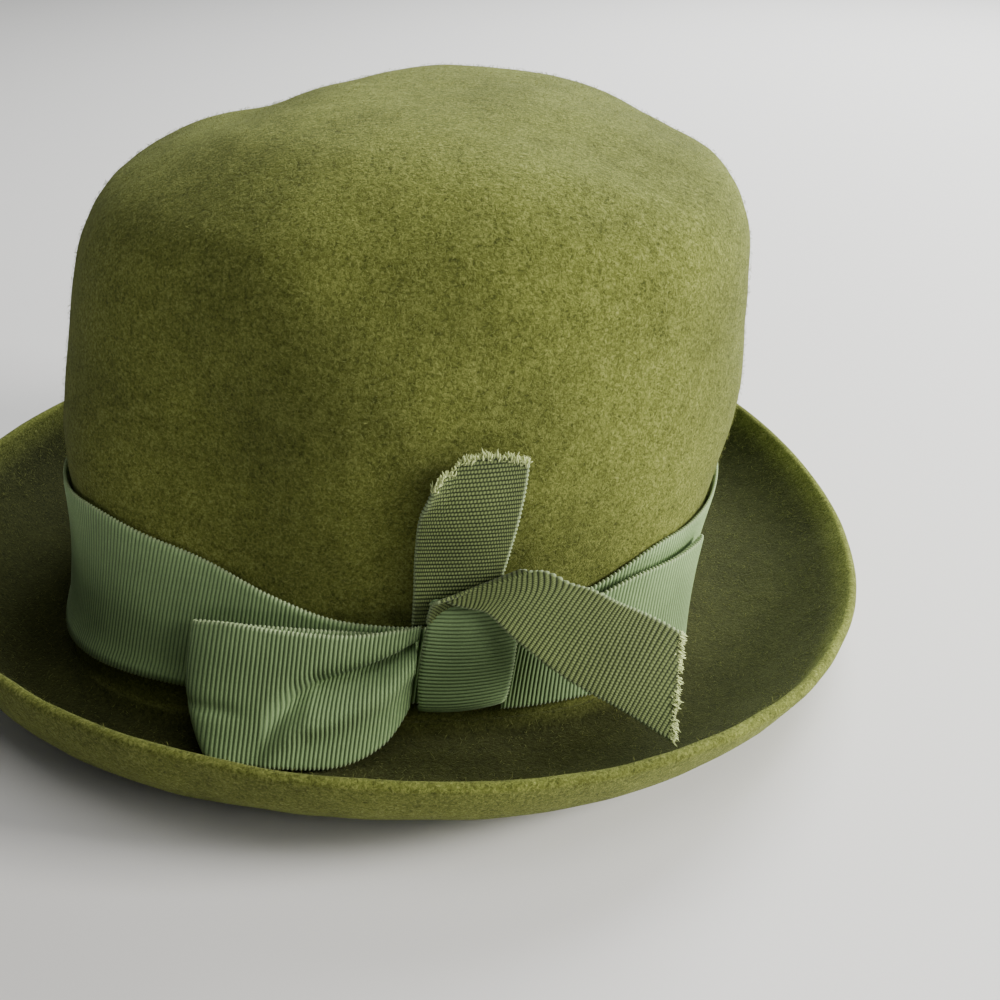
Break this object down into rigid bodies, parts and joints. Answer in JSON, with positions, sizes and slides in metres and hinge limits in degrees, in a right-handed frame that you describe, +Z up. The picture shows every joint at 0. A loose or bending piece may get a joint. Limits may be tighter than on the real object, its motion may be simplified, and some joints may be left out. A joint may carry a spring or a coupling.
{
  "type": "felt hat with rolled-up brim and ribbon bow",
  "caption": "Soft felt cloche-style hat with a tall dented crown, a rolled-up brim, a grosgrain ribbon band and a tied ribbon bow at the side.",
  "frame": {"origin": "centre of the hat's outline, on the surface it rests on", "axes": "+Z up through the crown, +X towards the side the crown leans to, -Y towards the bow"},
  "size_m": [0.2714, 0.2548, 0.146],
  "materials": {
    "felt": "brushed olive-green wool felt",
    "band_ribbon": "sage-green ribbed grosgrain",
    "tail_ribbon": "dark green woven ribbon, underside showing"
  },
  "bodies": {
    "root": {"felt_body": "felt", "hat_band": "band_ribbon", "left_loop": "band_ribbon", "right_loop": "band_ribbon", "knot_wrap": "band_ribbon", "falling_tail": "tail_ribbon", "upright_tail": "tail_ribbon"}
  },
  "joints": []
}
